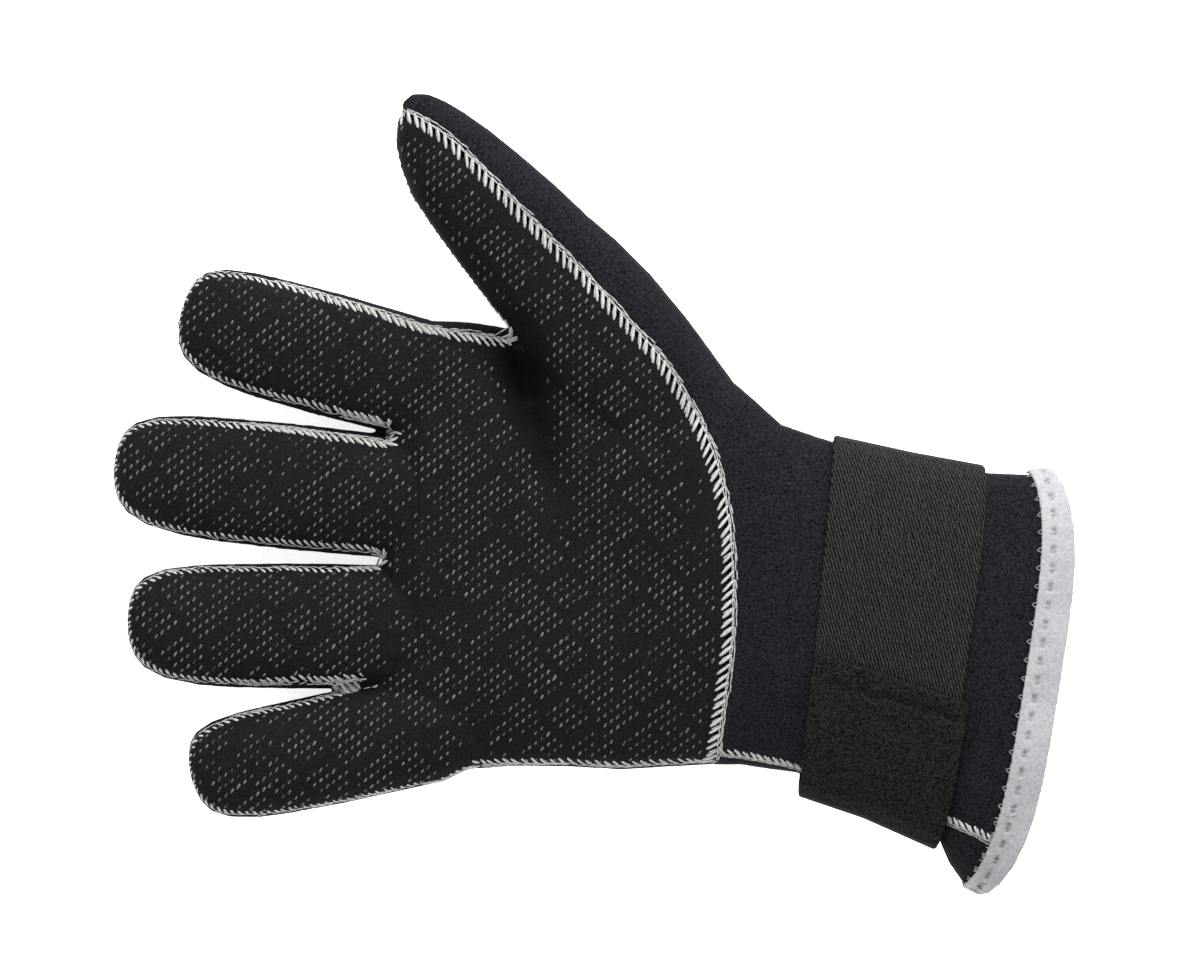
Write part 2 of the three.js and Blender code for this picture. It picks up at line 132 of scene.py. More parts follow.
# Where the rubber is worn, dots are smaller, and those under a limit are gone. Both the worn
# spots and the dots' own grain are noise, of so many waves to a millimetre, and each changes a
# dot's size by its share. The grain is read from a layer of the noise of its own
WEAR_WAVES = 0.05
WEAR_SHARE = 0.25
GRAIN_WAVES = 1.7
GRAIN_SHARE = 0.5
GRAIN_LAYER = 5
WORN_OFF = -0.55

# The share of the fold's width that is free of dots at its deep end
FOLD_BARE = 0.75

# On the fingers' steep sides the stitches lie farther up, are longer and slant less
STEEP = 0.75
STEEP_SHIFT = 2.8 * MM
STEEP_STRETCH = 0.35
STEEP_UPRIGHT = 0.75

# A seam stitch, in shares of its reach: where its leg and the thin leg start and end across
# the seam, how far they run along it, and where its chain's links lie and stray to. A stitch
# draws its own value from each range. Up to a steepness it has the thin leg and all its links
LEG_START = -0.75
LEG_END = (0.8, 1.1)
LEG_BACK = 0.6
LEG_SLANT = (0.85, 1.25)
THIN_LEG_START = -0.7
THIN_LEG_END = (0.4, 0.8)
CHAIN_LINES = (-0.95, -0.7, -0.4)
STEEP_CHAIN_LINES = (-0.8,)
LINK_START = (-0.15, 0.15)
LINK_END = (-0.25, 0.25)
FULL_STITCH = 0.5

# The same stitch, in shares of the pitch: how much later the thin leg starts than a reach back
# from the stitch, how far short of the leg's foot it ends, and a link's reach to each side
THIN_LEG_LATER = 0.2
THIN_LEG_SHORT = 0.5
LINK_REACH = 0.6

# Its threads, in shares of the thread's width: widths, heights and how far they are raised
LEG_WIDTH = (0.8, 1.1)
LEG_HEIGHT = 0.8
LEG_LIFT = 0.15
THIN_LEG_SIZE = 0.5
THIN_LEG_LIFT = -0.05
LINK_WIDTH = 0.36
LINK_HEIGHT = 0.4
LINK_LIFT = 0.1

# How much thicker a thread grows towards its far end, and thinner towards the near one
THREAD_TAPER = 0.5

# The stitches of the side seam are smaller than those of the palm's, in both shares
SIDE_REACH = 0.75
SIDE_WIDTH = 0.85

# A stitch of the cuff hooks over the tape's edge, goes through the tape at two dimples and
# fans out from them to the edge: shares of the seam stitches' reach across the edge, and of
# the hem's pitch along it, but the fan's spread is in shares of the dimples' own
HOOK_REACH = -0.55
HOOK_EDGE = 0.15
HOOK_SPREAD = (-0.14, 0.14)
DIMPLE_SPREAD = (-0.12, 0.12)
FAN_EDGE = 0.1
FAN_SPREAD = 3.5

# Its thread's width in shares of the seams' one, the hook's and the fan's sizes in shares of
# that, and how far they are raised
CUFF_THREAD = 0.5
HOOK_SIZE = 0.6
FAN_HEIGHT = 0.6
CUFF_LIFT = 0.15 * MM

# The crowded threads of the tape's end: the millimetres that they start and end at across the
# edge and lean by along it, how far they are raised, and their width and height
KNOT_START = (0.5, 1.2)
KNOT_END = (2.5, 5)
KNOT_LEAN = (0.5, 2.2)
KNOT_LIFT = 0.1 * MM
KNOT_THREAD = (0.55 * MM, 0.5 * MM)

# The row of stitches in the tab: how deep and wide it presses the tape, how far it wavers and
# by how many radians a step, and its thread's width and height
TAB_PULL = 0.7 * MM
TAB_PULL_WIDTH = 1.6 * MM
TAB_PITCH = 2.4 * MM
TAB_STITCH = 2 * MM
TAB_WAVER = 0.5 * MM
TAB_WAVER_TURN = 0.9
TAB_THREAD = (0.6 * MM, 0.5 * MM)

# How far painted shade darkens the rubber's colour down in the fold between the thumb and the palm,
# and the power that the fold's sides fall by
PAINTED_FOLD_SHADE = 0.35
FOLD_POWER = 1.5

# Slices of the turn round the wrist that the strap's map is measured in, and those in which
# the edge of the cuff's tape is looked for. The tape's outer leg lies beyond a share of the
# greatest distance from the axis, and looks outward by at least so much
MAP_SLICES = 96
HEM_SLICES = 144
OUTER_LEG = 0.93
OUTWARD = 0.15

RANDOM_SEED = 7

# The cloths, rubbers and threads, by the names of their colours: the material, its shader
# group, how many grains it has to a millimetre or how far apart its ribs are, how much its
# shade varies, the depth of its relief, its roughness and its gloss
CLOTHS = {
    "neoprene": ("smooth_neoprene_jersey", "Fine knit", 1.7, 0.8, 0.1 * MM, 0.95, 0.04),
    "grip": ("grip_rubber", "Fine knit", 1.4, 0.45, 0.14 * MM, 0.8, 0.05),
    # The grip dots' lighter grey is painted highlight for the light on their tips
    "dot": ("grip_dot_rubber_painted_highlight", "Fine knit", 0.55, 0.85, 0.02 * MM, 0.6, 0.15),
    "thread": ("seam_thread", "Fine knit", 2.2, 0.3, 0.06 * MM, 0.85, 0.1),
    "cuff_thread": ("cuff_thread", "Fine knit", 2.2, 0.3, 0.06 * MM, 0.85, 0.1),
    "dark_thread": ("tab_thread", "Fine knit", 2.2, 0.3, 0.06 * MM, 0.85, 0.1),
    "elastic": ("ribbed_elastic", "Twill", 0.85, 0.9, 0.2 * MM, 0.95, 0.04),
    "hook_tape": ("hook_tape_fuzz", "Fine knit", 1.5, 0.95, 0.25 * MM, 0.95, 0.04),
    "loop_tape": ("loop_tape_fuzz", "Fine knit", 1.1, 0.5, 0.25 * MM, 0.95, 0.05),
    "binding": ("woven_binding_tape", "Fine knit", 1.2, 0.12, 0.1 * MM, 0.9, 0.1),
    "floor": ("pale_floor", "Fine knit", 0.02, 0.01, 0.0, 0.9, 0.1),
}

# The roughness of the noise that grain and fuzz are made of
FINE_ROUGHNESS = 0.7

# The knit: the part of its noise that the contrast spreads, and the waves to a millimetre and
# brightness of the clouds of wear
KNIT_SPAN = (0.38, 0.62)
CLOUD_WAVES = 0.06
CLOUD_SHADES = (0.75, 1.25)

# The twill: the slant of its ribs in degrees, the share of a rib that they stray by, the waves
# to a millimetre of that and of its fuzz, and the part of the relief that the contrast spreads
RIB_SLANT = 24
RIB_STRAY = 0.5
STRAY_WAVES = 1.2
FUZZ_WAVES = 1.7
TWILL_SPAN = (0.05, 0.6)

# The table lies just under the glove and reaches this far to each side
FLOOR_DROP = -0.2 * MM
FLOOR_HALF = 3

# The soft lamps: name, place, width and power
LAMPS = (
    ("key_light", (0.4, 1.3, 0.9), 1.2, 74),
    ("fill_light", (-0.7, -1.1, 0.9), 1.2, 14),
)

# The strength of the white light from all round, and of the table's own faint light
BACKDROP = 1.2
FLOOR_GLOW = 0.8

# The camera looks at the palm's height, and shows nothing nearer than this
CAMERA_AIM = 12 * MM
CAMERA_NEAR = 0.01


def tint(red, green, blue):
    """A colour as it shows on a screen, 0 to 255, turned into the linear one that shaders use."""
    shares = [channel / 255 for channel in (red, green, blue)]
    return tuple(s / 12.92 if s <= 0.04045 else ((s + 0.055) / 1.055) ** 2.4 for s in shares)


def from_photo(pixel, height=0.0):
    """The place in the frame under a pixel of the photograph."""
    across = (pixel[0] - PHOTO_ORIGIN[0]) * PHOTO_PIXEL
    up = (PHOTO_ORIGIN[1] - pixel[1]) * PHOTO_PIXEL
    return Vector((across, up, height))


class GloveSizes(bpy.types.PropertyGroup):
    """The lengths that a maker would change."""

    panel_face: FloatProperty(
        name="Panel face", description="Width of the faces that a neoprene panel is made of",
        default=0.6 * MM, unit="LENGTH")
    panel_share: FloatProperty(
        name="Panel share", description="Share of a panel's small faces that is kept",
        default=0.24, subtype="FACTOR")
    trim_face: FloatProperty(
        name="Trim face", description="Width of the faces that the strap and the tape are made of",
        default=0.6 * MM, unit="LENGTH")
    seam_pull: FloatProperty(
        name="Seam pull", description="Depth that the stitches pull the panels in by",
        default=0.6 * MM, unit="LENGTH")
    seam_pull_width: FloatProperty(
        name="Seam pull width", description="Distance from the seam at which a panel lies flat again",
        default=3.4 * MM, unit="LENGTH")
    fold_depth: FloatProperty(
        name="Fold depth", description="Depth of the fold between the thumb and the palm",
        default=11.0 * MM, unit="LENGTH")
    fold_width: FloatProperty(
        name="Fold width", description="Distance from the fold at which the palm lies flat again",
        default=10.0 * MM, unit="LENGTH")
    hand_pitch: FloatProperty(
        name="Hand stitch pitch", description="Distance between stitches on the hand and the thumb",
        default=2.5 * MM, unit="LENGTH")
    finger_pitch: FloatProperty(
        name="Finger stitch pitch", description="Distance between stitches round the fingers",
        default=2.05 * MM, unit="LENGTH")
    stitch_reach: FloatProperty(
        name="Stitch reach", description="How far a stitch reaches onto the palm panel",
        default=2.0 * MM, unit="LENGTH")
    thread_width: FloatProperty(
        name="Thread width", description="Width of a stitch at its thickest",
        default=1.0 * MM, unit="LENGTH")
    hem_pitch: FloatProperty(
        name="Hem pitch", description="Distance between the stitches that hold the cuff's tape",
        default=5.0 * MM, unit="LENGTH")
    hem_reach: FloatProperty(
        name="Hem reach", description="How far the cuff's stitches reach over its tape",
        default=3.3 * MM, unit="LENGTH")
    dimple_depth: FloatProperty(
        name="Dimple depth", description="Depth that a cuff stitch pulls the tape in by",
        default=1.0 * MM, unit="LENGTH")
    dimple_width: FloatProperty(
        name="Dimple width", description="Distance from a cuff stitch at which the tape lies flat",
        default=1.0 * MM, unit="LENGTH")
    tape_end_pitch: FloatProperty(
        name="Tape end pitch", description="Distance between stitches where the tape's ends overlap",
        default=0.9 * MM, unit="LENGTH")
    dot_length: FloatProperty(
        name="Dot length", description="Length of a grip dot",
        default=1.5 * MM, unit="LENGTH")
    dot_width: FloatProperty(
        name="Dot width", description="Width of a grip dot",
        default=0.62 * MM, unit="LENGTH")
    dot_height: FloatProperty(
        name="Dot height", description="Height that a grip dot stands up by",
        default=0.4 * MM, unit="LENGTH")
    camera_lens: FloatProperty(
        name="Camera lens", description="Focal length of the camera in millimetres",
        default=300.0)


class GloveColours(bpy.types.PropertyGroup):
    """The colours of the glove's cloths, rubbers and threads."""

    neoprene: FloatVectorProperty(
        name="Smooth neoprene", description="Jersey face of the back panel",
        subtype="COLOR", default=tint(18, 17, 21))
    grip: FloatVectorProperty(
        name="Grip neoprene", description="Rubber face of the palm panel",
        subtype="COLOR", default=tint(12, 12, 13))
    # The dots' grey, much lighter than the grip rubber's, is painted highlight: it stands in for the
    # light that their tips catch
    dot: FloatVectorProperty(
        name="Grip dots", description="Raised dots of the palm panel",
        subtype="COLOR", default=tint(62, 62, 64))
    thread: FloatVectorProperty(
        name="Seam thread", description="Thread of the panel seams and of the cuff",
        subtype="COLOR", default=tint(140, 139, 137))
    cuff_thread: FloatVectorProperty(
        name="Cuff thread", description="Thread that holds the cuff's tape",
        subtype="COLOR", default=tint(114, 113, 109))
    dark_thread: FloatVectorProperty(
        name="Tab thread", description="Thread that holds the tab to the elastic",
        subtype="COLOR", default=tint(8, 8, 8))
    elastic: FloatVectorProperty(
        name="Elastic", description="Ribbed elastic of the wrist strap",
        subtype="COLOR", default=tint(30, 30, 29))
    hook_tape: FloatVectorProperty(
        name="Hook tape", description="Fuzzy outside of the strap's tab",
        subtype="COLOR", default=tint(19, 17, 18))
    loop_tape: FloatVectorProperty(
        name="Loop tape", description="Patch that the tab grips",
        subtype="COLOR", default=tint(20, 20, 21))
    binding: FloatVectorProperty(
        name="Binding tape", description="Folded tape round the cuff",
        subtype="COLOR", default=tint(124, 124, 127))
    floor: FloatVectorProperty(
        name="Floor", description="Table that the glove lies on",
        subtype="COLOR", default=tint(246, 246, 246))


# Working meshes

def mesh_of(work, name):
    """Turns a working mesh into a mesh that objects can show."""
    mesh = bpy.data.meshes.new(name)
    work.to_mesh(mesh)
    work.free()
    return mesh


def placed(name, data):
    """A new object of the scene that holds a mesh, a lamp or a camera."""
    thing = bpy.data.objects.new(name, data)
    bpy.context.scene.collection.objects.link(thing)
    return thing


def merged_copy(node):
    """A working copy of a node's mesh, with the corners joined that its faces share."""
    work = bmesh.new()
    work.from_mesh(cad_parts[node].data)
    bmesh.ops.remove_doubles(work, verts=work.verts, dist=SAME_CORNER)
    return work


def even_copy(node, face_width, share=1.0):
    """A working copy of a node in small faces of one width, of which a share is kept."""
    mesh = mesh_of(merged_copy(node), node + "_even")
    carrier = placed(mesh.name, mesh)
    remesh = carrier.modifiers.new("Even faces", "REMESH")
    remesh.mode = "VOXEL"
    remesh.voxel_size = face_width
    thin_out = carrier.modifiers.new("Fewer faces", "DECIMATE")
    thin_out.ratio = share
    graph = bpy.context.evaluated_depsgraph_get()
    even = bpy.data.meshes.new_from_object(carrier.evaluated_get(graph))
    work = bmesh.new()
    work.from_mesh(even)
    bpy.data.objects.remove(carrier)
    bpy.data.meshes.remove(even)
    bpy.data.meshes.remove(mesh)
    return work


def relaxed(work, verts, rounds):
    """Rounds a working mesh's facets and corners without thinning it."""
    axes = {"use_axis_x": True, "use_axis_y": True, "use_axis_z": True}
    for _ in range(rounds):
        bmesh.ops.smooth_vert(work, verts=verts, factor=RELAX, **axes)
        bmesh.ops.smooth_vert(work, verts=verts, factor=REGROW, **axes)


def shown(work, name, material):
    """Turns a working mesh into a piece of the glove that rides on its one body."""
    bmesh.ops.recalc_face_normals(work, faces=work.faces)
    mesh = mesh_of(work, name)
    mesh.shade_smooth()
    mesh.materials.append(material)
    piece = placed(name, mesh)
    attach(piece, "root")
    return piece


def scattered(template, places):
    """A working mesh that repeats one small template at each of a list of places."""
    work = bmesh.new()
    for place in places:
        copy = template.copy()
        copy.transform(place)
        work.from_mesh(copy)
        bpy.data.meshes.remove(copy)
    bpy.data.meshes.remove(template)
    return work


def sewn(places, name, material):
    """A piece made of threads at a list of places."""
    return shown(scattered(thread_template(), places), name, material)


# Paths

def resampled(points, pitch):
    """The same path with its points a pitch apart. The pitch is one length, or one a step."""
    points = np.array(points)
    steps = np.linalg.norm(np.diff(points, axis=0), axis=1)
    count = np.concatenate([[0], np.cumsum(steps / pitch)])
    places = np.linspace(0, count[-1], round(count[-1]) + 1)
    return np.stack([np.interp(places, count, points[:, axis]) for axis in range(3)], axis=1)


def evened(points, reach, closed):
    """A path without its jitter: each point is the mean of those within so many steps."""
    total = np.zeros_like(points)
    for step in range(-reach, reach + 1):
        places = np.arange(len(points)) + step
        places = places % len(points) if closed else np.clip(places, 0, len(points) - 1)
        total += points[places]
    return total / (2 * reach + 1)


def longest_run(edges):
    """The longest run through a list of edges, going straight on where they fork."""
    at_corner = {}
    for edge in edges:
        for corner in edge.verts:
            at_corner.setdefault(corner, []).append(edge)
    left = dict.fromkeys(edges)
    runs = []
    while left:
        first = next(iter(left))
        del left[first]
        run = list(first.verts)
        while choices := [edge for edge in at_corner[run[-1]] if edge in left]:
            heading = run[-1].co - run[-2].co
            onward = max(choices, key=lambda edge: heading.dot(
                (edge.other_vert(run[-1]).co - run[-1].co).normalized()))
            del left[onward]
            run.append(onward.other_vert(run[-1]))
        runs.append(run)
    return [corner.co.copy() for corner in max(runs, key=len)]


def skins(work):
    """The sets of faces that hang together."""
    left = dict.fromkeys(work.faces)
    found = []
    while left:
        first = next(iter(left))
        del left[first]
        skin, edge_of_skin = [first], [first]
        while edge_of_skin:
            face = edge_of_skin.pop()
            for edge in face.edges:
                for other in edge.link_faces:
                    if other in left:
                        del left[other]
                        skin.append(other)
                        edge_of_skin.append(other)
        found.append(skin)
    return found


def tree_of(points):
    """A tree that finds the nearest of a list of points."""
    tree = KDTree(len(points))
    for i, point in enumerate(points):
        tree.insert(point, i)
    tree.balance()
    return tree


def clockwise(path):
    """A closed path in the direction that runs clockwise when it is seen from above."""
    x, y = path[:, 0], path[:, 1]
    area = np.sum(x * np.roll(y, -1) - np.roll(x, -1) * y)
    return path[::-1] if area > 0 else path


def palm_seam():
    """The closed seam round the palm panel, from its outer skin's edge."""
    palm, back = merged_copy("palm_panel"), merged_copy("back_panel")
    across = BVHTree.FromBMesh(back)
    back.free()
    cut = []
    for face in palm.faces:
        _, normal, _, distance = across.find_nearest(face.calc_center_median())
        if distance < SEAM_REACH and normal.dot(face.normal) < FACING:
            cut.append(face)
    bmesh.ops.delete(palm, geom=cut, context="FACES")
    outer = max(skins(palm), key=lambda skin: max(face.calc_center_median().z for face in skin))
    kept = set(outer)
    rim = [edge for edge in palm.edges if len(edge.link_faces) == 1 and edge.link_faces[0] in kept]
    run = longest_run(rim)
    palm.free()
    path = clockwise(resampled(run, PATH_STEP))
    return evened(evened(path, EVENING, closed=True), 1, closed=True)


def surface_of(*pieces):
    """One tree of the pieces' faces, to lay stitches and dots on."""
    work = bmesh.new()
    for piece in pieces:
        work.from_mesh(piece.data)
    tree = BVHTree.FromBMesh(work)
    work.free()
    return tree


def seam_stations(path, pitch, surface, closed):
    """Stations along a seam: the point, the way along, the way across and the way out.

    The way across points to the right of the way along, seen from outside.
    """
    points = resampled(path, pitch)
    outs = []
    for point in points:
        near = surface.find_nearest_range(Vector(point), SLOPE_REACH)
        outs.append(sum((hit[1] for hit in near), Vector()).normalized())
    outs = evened(np.array(outs), EVENING, closed)
    ahead = np.roll(points, -1, axis=0) - np.roll(points, 1, axis=0)
    if not closed:
        ahead[0], ahead[-1] = points[1] - points[0], points[-1] - points[-2]
    stations = []
    for point, heading, out in zip(points, ahead, outs):
        out = Vector(out).normalized()
        along = Vector(heading).normalized()
        across = along.cross(out).normalized()
        stations.append((Vector(point), along, across, across.cross(along)))
    return stations


def dropped(surface, pixels):
    """The points of a surface under some pixels of the photograph."""
    down = Vector((0, 0, -1))
    return [surface.ray_cast(from_photo(pixel, RAY_START), down)[0] for pixel in pixels]


def laid(surface, point, out, lift):
    """The point of a surface nearest to a place, raised a little out of it."""
    nearest = surface.find_nearest(point)[0]
    return nearest + out * lift


def thread_place(start, end, out, width, height):
    """The place that stretches a unit template from one point to another."""
    run = end - start
    side = out.cross(run).normalized()
    up = run.cross(side).normalized()
    turn = Matrix((run, side * width, up * height)).transposed().to_4x4()
    return Matrix.Translation((start + end) / 2) @ turn


def thread_template():
    """One lay of thread, a unit long, thickest near its far end."""
    work = bmesh.new()
    bmesh.ops.create_uvsphere(work, u_segments=6, v_segments=5, radius=0.5,
                              matrix=Matrix.Rotation(math.pi / 2, 4, "Y"))
    for vertex in work.verts:
        taper = 1 + THREAD_TAPER * vertex.co.x
        vertex.co.y *= taper
        vertex.co.z *= taper
    return mesh_of(work, "thread")


def dot_template():
    """One grip dot, a unit long, wide and high, whose lower half sits in the rubber."""
    work = bmesh.new()
    bmesh.ops.create_uvsphere(work, u_segments=6, v_segments=4, radius=0.5)
    return mesh_of(work, "dot")


# Materials

def linked_node(tree, kind, inputs=None, **settings):
    """A new node of a tree, with settings and with values or links for its inputs."""
    node = tree.nodes.new(kind)
    for name, value in settings.items():
        setattr(node, name, value)
    for name, value in (inputs or {}).items():
        if isinstance(value, bpy.types.NodeSocket):
            tree.links.new(value, node.inputs[name])
        else:
            node.inputs[name].default_value = value
    return node


def new_group(name):
    """An empty shader group and its input and output nodes.

    It takes a colour, the fineness of its grain or ribs and their contrast, and gives a colour
    and a height.
    """
    group = bpy.data.node_groups.new(name, "ShaderNodeTree")
    for title, way, kind in (("Color", "INPUT", "Color"), ("Fineness", "INPUT", "Float"),
                             ("Contrast", "INPUT", "Float"), ("Color", "OUTPUT", "Color"),
                             ("Height", "OUTPUT", "Float")):
        group.interface.new_socket(title, in_out=way, socket_type="NodeSocket" + kind)
    return group, group.nodes.new("NodeGroupInput"), group.nodes.new("NodeGroupOutput")


def worked_out(tree, operation, *values):
    """What one operation makes of values or sockets."""
    node = linked_node(tree, "ShaderNodeMath", dict(enumerate(values)), operation=operation)
    return node.outputs[0]


def clouded(tree, waves, detail, roughness=0.5):
    """Noise from 0 to 1, of so many waves to a millimetre of the glove."""
    place = linked_node(tree, "ShaderNodeTexCoord")
    scaled = linked_node(tree, "ShaderNodeVectorMath", {0: place.outputs["Object"], 1: (1 / MM,) * 3},
                         operation="MULTIPLY")
    cloud = linked_node(tree, "ShaderNodeTexNoise", {
        "Vector": scaled.outputs[0], "Scale": waves, "Detail": detail, "Roughness": roughness})
    return cloud.outputs["Fac"]


def brightened(tree, colour, amount):
    """A colour made lighter or darker by an amount round one."""
    scaled = linked_node(tree, "ShaderNodeVectorMath", {0: colour}, operation="SCALE")
    tree.links.new(amount, scaled.inputs["Scale"])
    return scaled.outputs[0]


def ranged(tree, value, low, high, start=0.0, end=1.0):
    """A value from start to end, or else from 0 to 1, carried to another range."""
    span = linked_node(tree, "ShaderNodeMapRange", {
        "Value": value, "From Min": start, "From Max": end, "To Min": low, "To Max": high})
    return span.outputs["Result"]


def contrasted(tree, value, span, contrast):
    """The part of a value within a span, carried to as far below and above one as the contrast."""
    low = worked_out(tree, "SUBTRACT", 1.0, contrast)
    high = worked_out(tree, "ADD", 1.0, contrast)
    return ranged(tree, value, low, high, *span)


def knit_group():
    """Fine knitted or rubbed cloth: small grains, and slow clouds of wear over them."""
    group, given, out = new_group("Fine knit")
    grain = clouded(group, given.outputs["Fineness"], 3.0, FINE_ROUGHNESS)
    fine = contrasted(group, grain, KNIT_SPAN, given.outputs["Contrast"])
    slow = ranged(group, clouded(group, CLOUD_WAVES, 2.0), *CLOUD_SHADES)
    shade = worked_out(group, "MULTIPLY", fine, slow)
    group.links.new(brightened(group, given.outputs["Color"], shade), out.inputs["Color"])
    group.links.new(grain, out.inputs["Height"])
    return group


def twill_group():
    """Slanting ribs of a woven elastic, read from the piece's own map in millimetres."""
    group, given, out = new_group("Twill")
    flat = linked_node(group, "ShaderNodeUVMap", uv_map="Strap")
    turned = linked_node(group, "ShaderNodeMapping", {
        "Vector": flat.outputs["UV"], "Rotation": (0, 0, math.radians(RIB_SLANT))})
    across = linked_node(group, "ShaderNodeSeparateXYZ", {"Vector": turned.outputs["Vector"]})
    turns = worked_out(group, "DIVIDE", across.outputs["X"], given.outputs["Fineness"])
    stray = ranged(group, clouded(group, STRAY_WAVES, 1.0), -RIB_STRAY, RIB_STRAY)
    phase = worked_out(group, "MULTIPLY", worked_out(group, "ADD", turns, stray), 2 * math.pi)
    rib = ranged(group, worked_out(group, "SINE", phase), 0.0, 1.0, start=-1.0)
    fuzz = clouded(group, FUZZ_WAVES, 2.0, FINE_ROUGHNESS)
    height = worked_out(group, "MULTIPLY", rib, fuzz)
    shade = contrasted(group, height, TWILL_SPAN, given.outputs["Contrast"])
    group.links.new(brightened(group, given.outputs["Color"], shade), out.inputs["Color"])
    group.links.new(height, out.inputs["Height"])
    return group


SHADER_GROUPS = {"Fine knit": knit_group, "Twill": twill_group}


def cloth_material(key, colours):
    """A cloth, rubber or thread whose colour and relief come from one of the shader groups."""
    name, kind, fineness, contrast, depth, roughness, gloss = CLOTHS[key]
    material = bpy.data.materials.new(name)
    material.use_nodes = True
    tree = material.node_tree
    shader = tree.nodes["Principled BSDF"]
    shader.inputs["Roughness"].default_value = roughness
    shader.inputs["Specular IOR Level"].default_value = gloss
    group = bpy.data.node_groups.get(kind) or SHADER_GROUPS[kind]()
    effect = linked_node(tree, "ShaderNodeGroup", node_tree=group)
    colour = (*getattr(colours, key), 1)
    for socket, value in zip(effect.inputs, (colour, fineness, contrast)):
        socket.default_value = value
    bump = linked_node(tree, "ShaderNodeBump", {"Height": effect.outputs["Height"],
                                                "Distance": depth, "Strength": 1.0})
    tree.links.new(effect.outputs["Color"], shader.inputs["Base Color"])
    tree.links.new(bump.outputs["Normal"], shader.inputs["Normal"])
    return material


def grip_material_with_painted_shade(colours):
    """Embossed rubber between the grip dots, darkened by painted shade down in the fold."""
    material = cloth_material("grip", colours)
    tree = material.node_tree
    base = tree.nodes["Principled BSDF"].inputs["Base Color"]
    # Painted shade: the Fold attribute darkens the rubber's colour down in the fold
    fold = linked_node(tree, "ShaderNodeAttribute", attribute_name="Fold")
    shade = ranged(tree, fold.outputs["Fac"], 1.0, PAINTED_FOLD_SHADE)
    tree.links.new(brightened(tree, base.links[0].from_socket, shade), base)
    return material


def floor_material(colours):
    """A pale table that is lit a little from below, so that shadows on it stay faint."""
    material = cloth_material("floor", colours)
    shader = material.node_tree.nodes["Principled BSDF"]
    shader.inputs["Emission Color"].default_value = (*colours.floor, 1)
    shader.inputs["Emission Strength"].default_value = FLOOR_GLOW
    return material


# Pieces

def far_from(work, path, distance):
    """The vertices of a working mesh that lie farther than a distance from a path."""
    tree = tree_of(path)
    return [vertex for vertex in work.verts if tree.find(vertex.co)[2] > distance]


def folded_down(work, path, seam, depth, width):
    """Sinks a crease along a path in plan. It runs out at the path's far end and at the seam.

    The vertices' Fold attribute tells the material how far down in the crease they lie, and so how much
    painted shade darkens them there.
    """
    tree = tree_of(path)
    near_seam = tree_of(seam)
    layer = work.verts.layers.float.new("Fold")
    for vertex in work.verts:
        _, place, distance = tree.find((vertex.co.x, vertex.co.y, 0))
        if distance < width:
            fade = 1 - (place / len(path)) ** 2
            # This share is painted shade: the material darkens the rubber by it in the crease
            vertex[layer] = fade * (1 - distance / width)
            fade *= min(1, near_seam.find(vertex.co)[2] / width)
            vertex.co.z -= depth * fade * (1 - distance / width) ** FOLD_POWER


def fold_path():
    """The bottom of the fold between the thumb and the palm, in plan."""
    return resampled([from_photo(pixel) for pixel in FOLD_PIXELS], PATH_STEP)


def pulled_in(work, path, depth, width):
    """Sinks the surface near each point of a path, as the thread's tension does."""
    tree = tree_of(path)
    work.normal_update()
    for vertex in work.verts:
        distance = tree.find(vertex.co)[2]
        if distance < width:
            fall = (1 - (distance / width) ** 2) ** 2
            vertex.co -= vertex.normal * depth * fall


def foam_panel(node, name, material, sizes):
    """A neoprene panel: the node's shape, rounded, with its edges pulled in at the seams."""
    work = even_copy(node, sizes.panel_face, sizes.panel_share)
    seam = palm_seam()
    relaxed(work, far_from(work, seam, SEAM_MARGIN), FLAT_ROUNDS)
    relaxed(work, work.verts, PANEL_ROUNDS)
    if node == "palm_panel":
        folded_down(work, fold_path(), seam, sizes.fold_depth, sizes.fold_width)
    pulled_in(work, seam, sizes.seam_pull, sizes.seam_pull_width)
    piece = shown(work, name, material)
    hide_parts(node)
    return piece


def wrist_places(work):
    """Each vertex's distance along the wrist's axis, angle round it and distance from it."""
    points = np.array([vertex.co for vertex in work.verts])
    turn = math.radians(WRIST_TURN)
    axial = points[:, 0] * math.cos(turn) - points[:, 1] * math.sin(turn)
    level = points[:, 0] * math.sin(turn) + points[:, 1] * math.cos(turn)
    rise = points[:, 2] - (points[:, 2].min() + points[:, 2].max()) / 2
    level -= (level.min() + level.max()) / 2
    return axial, np.arctan2(rise, level), np.hypot(rise, level)


def strap_map(work):
    """Lays a map over a strap in millimetres: along the wrist's axis, and round it."""
    axial, angle, radius = wrist_places(work)
    bins = np.linspace(-math.pi, math.pi, MAP_SLICES + 1)
    places = (bins[1:] + bins[:-1]) / 2
    counts, _ = np.histogram(angle, bins)
    sums, _ = np.histogram(angle, bins, weights=radius)
    filled = counts > 0
    mean = np.interp(places, places[filled], sums[filled] / counts[filled])
    ring = np.stack([mean * np.cos(places), mean * np.sin(places)], axis=1)
    steps = np.linalg.norm(np.diff(ring, axis=0), axis=1)
    round_wrist = np.interp(angle, places, np.concatenate([[0], np.cumsum(steps)]))
    layer = work.loops.layers.uv.new("Strap")
    for vertex, u, v in zip(work.verts, axial / MM, round_wrist / MM):
        for loop in vertex.link_loops:
            loop[layer].uv = (u, v)


def looks_outward(work):
    """For each vertex of a ring round the wrist, whether it lies on the ring's outside."""
    work.normal_update()
    normals = np.array([vertex.normal for vertex in work.verts])
    _, angle, _ = wrist_places(work)
    return normals[:, 1] * np.cos(angle) + normals[:, 2] * np.sin(angle) > OUTWARD


def outer_skin(work):
    """A tree of the faces on the outside of a ring round the wrist."""
    skin = work.copy()
    hidden = [vertex for vertex, seen in zip(skin.verts, looks_outward(skin)) if not seen]
    bmesh.ops.delete(skin, geom=hidden, context="VERTS")
    tree = BVHTree.FromBMesh(skin)
    skin.free()
    return tree


